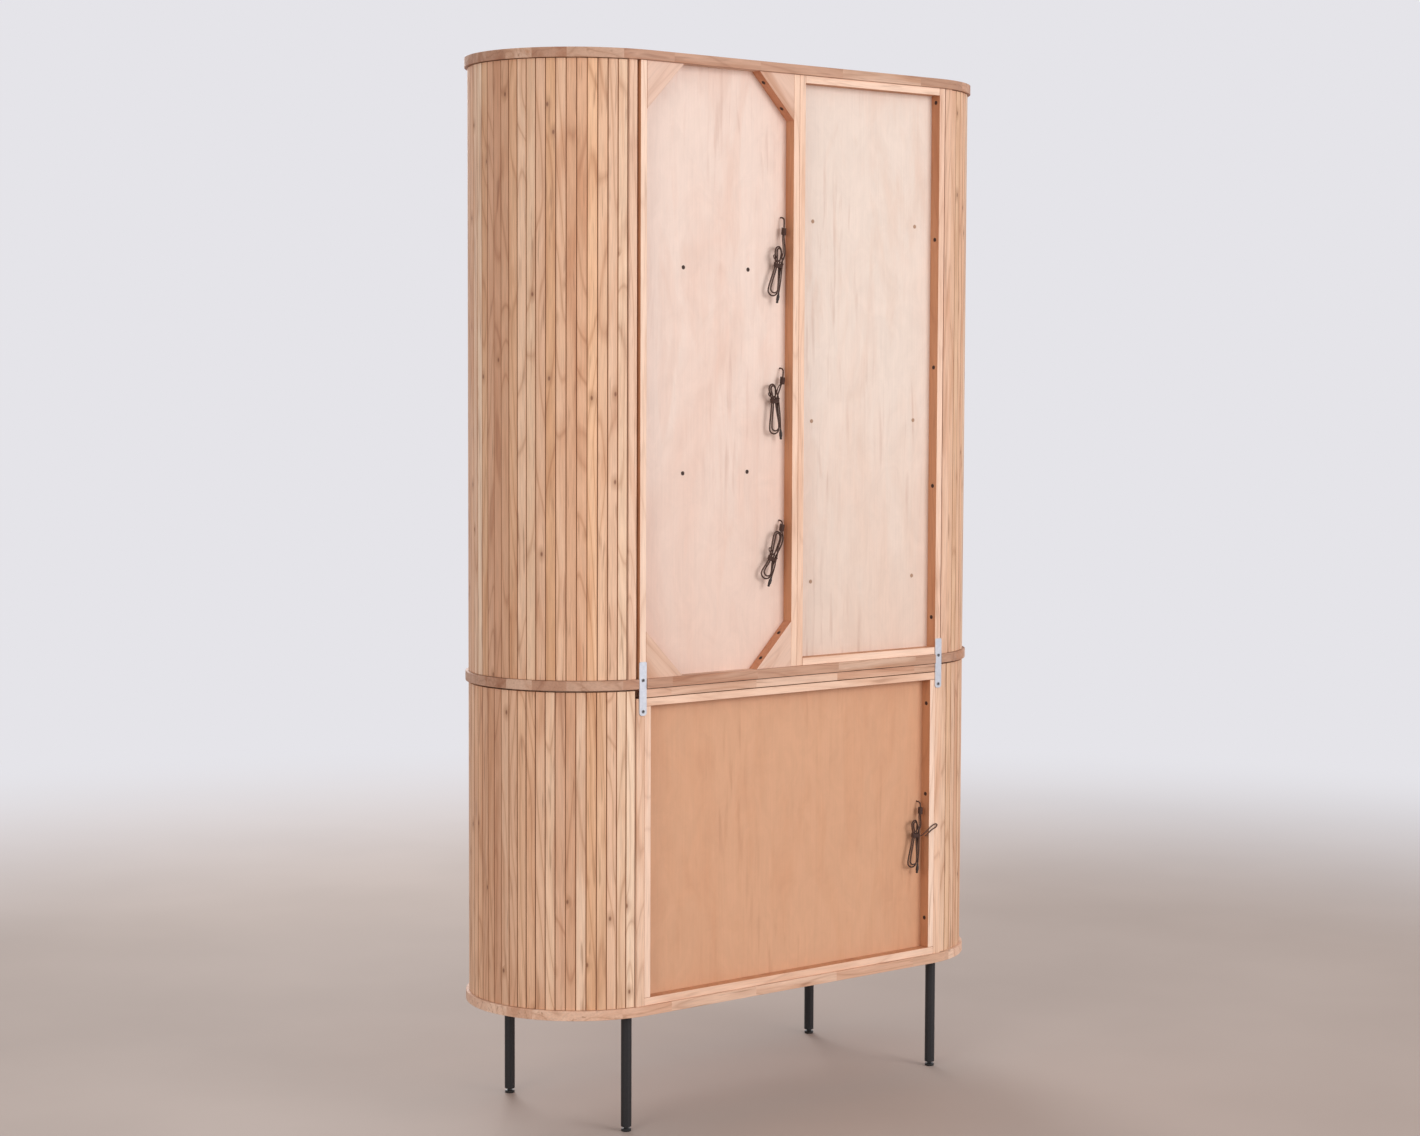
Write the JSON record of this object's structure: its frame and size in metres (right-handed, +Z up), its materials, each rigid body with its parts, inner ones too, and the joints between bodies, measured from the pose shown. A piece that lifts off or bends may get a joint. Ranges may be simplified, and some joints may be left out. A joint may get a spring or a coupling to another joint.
{
  "type": "pocket door cabinet",
  "caption": "Tall two-unit cabinet with slatted rounded ends, open-backed shelf bays, swing-and-slide pocket doors, tied light leads and black legs with levelling feet.",
  "frame": {"origin": "on the floor, under the middle of the cabinet", "axes": "+Z up, doors facing -Y and the back at +Y, +X to the right as seen from the front"},
  "size_m": [1.1658, 0.432, 2],
  "materials": {
    "board_ply": "satin",
    "slat_wood": "satin",
    "shell_ply": "satin",
    "box_ply": "satin",
    "right_back_ply": "satin",
    "left_back_ply": "satin",
    "lower_back_ply": "satin",
    "gusset_wood": "satin",
    "door_ply": "satin",
    "rail_metal": "satin",
    "post_steel": "satin",
    "pull_metal": "matt",
    "leg_steel": "satin",
    "foot_plastic": "satin",
    "plate_zinc": "satin",
    "screw_steel": "satin",
    "light_aluminium": "satin",
    "lead_cover": "matt",
    "tie_plastic": "matt",
    "plug_plastic": "satin"
  },
  "bodies": {
    "cabinet": {"top_board": "board_ply", "mid_board": "board_ply", "base_board": "board_ply", "lower_top_board": "board_ply", "upper_left_end_shell": "shell_ply", "upper_left_end_slats": "slat_wood", "upper_right_end_shell": "shell_ply", "upper_right_end_slats": "slat_wood", "lower_left_end_shell": "shell_ply", "lower_left_end_slats": "slat_wood", "lower_right_end_shell": "shell_ply", "lower_right_end_slats": "slat_wood", "corner_posts": "box_ply", "right_box": "box_ply", "left_box": "box_ply", "lower_box": "box_ply", "right_shelves": "box_ply", "left_shelves": "box_ply", "lower_shelf": "box_ply", "right_back_panel": "right_back_ply", "left_back_panel": "left_back_ply", "lower_back_panel": "lower_back_ply", "corner_gussets": "gusset_wood", "legs": "leg_steel", "joining_plates": "plate_zinc", "plate_screws": "plate_zinc", "wood_screws": "screw_steel", "light_bars": "light_aluminium", "upper_lead": "lead_cover", "middle_lead": "lead_cover", "low_lead": "lead_cover", "base_lead": "lead_cover", "lead_ties": "tie_plastic", "lead_plugs": "plug_plastic"},
    "upper_left_swing": {"upper_left_swing_post": "post_steel"},
    "upper_left_door": {"upper_left_door_panel": "door_ply", "upper_left_door_slats": "slat_wood", "upper_left_door_rails": "rail_metal", "upper_left_door_pull": "pull_metal"},
    "upper_right_swing": {"upper_right_swing_post": "post_steel"},
    "upper_right_door": {"upper_right_door_panel": "door_ply", "upper_right_door_slats": "slat_wood", "upper_right_door_rails": "rail_metal", "upper_right_door_pull": "pull_metal"},
    "lower_left_swing": {"lower_left_swing_post": "post_steel"},
    "lower_left_door": {"lower_left_door_panel": "door_ply", "lower_left_door_slats": "slat_wood", "lower_left_door_rails": "rail_metal", "lower_left_door_pull": "pull_metal"},
    "lower_right_swing": {"lower_right_swing_post": "post_steel"},
    "lower_right_door": {"lower_right_door_panel": "door_ply", "lower_right_door_slats": "slat_wood", "lower_right_door_rails": "rail_metal", "lower_right_door_pull": "pull_metal"},
    "front_left_foot": {"front_left_foot": "foot_plastic"},
    "front_right_foot": {"front_right_foot": "foot_plastic"},
    "rear_left_foot": {"rear_left_foot": "foot_plastic"},
    "rear_right_foot": {"rear_right_foot": "foot_plastic"}
  },
  "joints": [
    {"name": "upper_left_door_hinge", "type": "hinge", "parent": "cabinet", "child": "upper_left_swing", "pos_m": [-0.398, -0.19, 1.416], "axis": [0, 0, -1], "range_deg": [0, 90]},
    {"name": "upper_left_door_slide", "type": "slide", "parent": "upper_left_swing", "child": "upper_left_door", "axis": [-1, 0, 0], "range_m": [0, 0.334]},
    {"name": "upper_right_door_hinge", "type": "hinge", "parent": "cabinet", "child": "upper_right_swing", "pos_m": [0.398, -0.19, 1.416], "axis": [0, 0, 1], "range_deg": [0, 90]},
    {"name": "upper_right_door_slide", "type": "slide", "parent": "upper_right_swing", "child": "upper_right_door", "axis": [1, 0, 0], "range_m": [0, 0.334]},
    {"name": "lower_left_door_hinge", "type": "hinge", "parent": "cabinet", "child": "lower_left_swing", "pos_m": [-0.398, -0.19, 0.526], "axis": [0, 0, -1], "range_deg": [0, 90]},
    {"name": "lower_left_door_slide", "type": "slide", "parent": "lower_left_swing", "child": "lower_left_door", "axis": [-1, 0, 0], "range_m": [0, 0.334]},
    {"name": "lower_right_door_hinge", "type": "hinge", "parent": "cabinet", "child": "lower_right_swing", "pos_m": [0.398, -0.19, 0.526], "axis": [0, 0, 1], "range_deg": [0, 90]},
    {"name": "lower_right_door_slide", "type": "slide", "parent": "lower_right_swing", "child": "lower_right_door", "axis": [1, 0, 0], "range_m": [0, 0.334]},
    {"name": "front_left_foot_height", "type": "slide", "parent": "cabinet", "child": "front_left_foot", "axis": [0, 0, -1], "range_m": [0, 0.01]},
    {"name": "front_right_foot_height", "type": "slide", "parent": "cabinet", "child": "front_right_foot", "axis": [0, 0, -1], "range_m": [0, 0.01]},
    {"name": "rear_left_foot_height", "type": "slide", "parent": "cabinet", "child": "rear_left_foot", "axis": [0, 0, -1], "range_m": [0, 0.01]},
    {"name": "rear_right_foot_height", "type": "slide", "parent": "cabinet", "child": "rear_right_foot", "axis": [0, 0, -1], "range_m": [0, 0.01]}
  ]
}
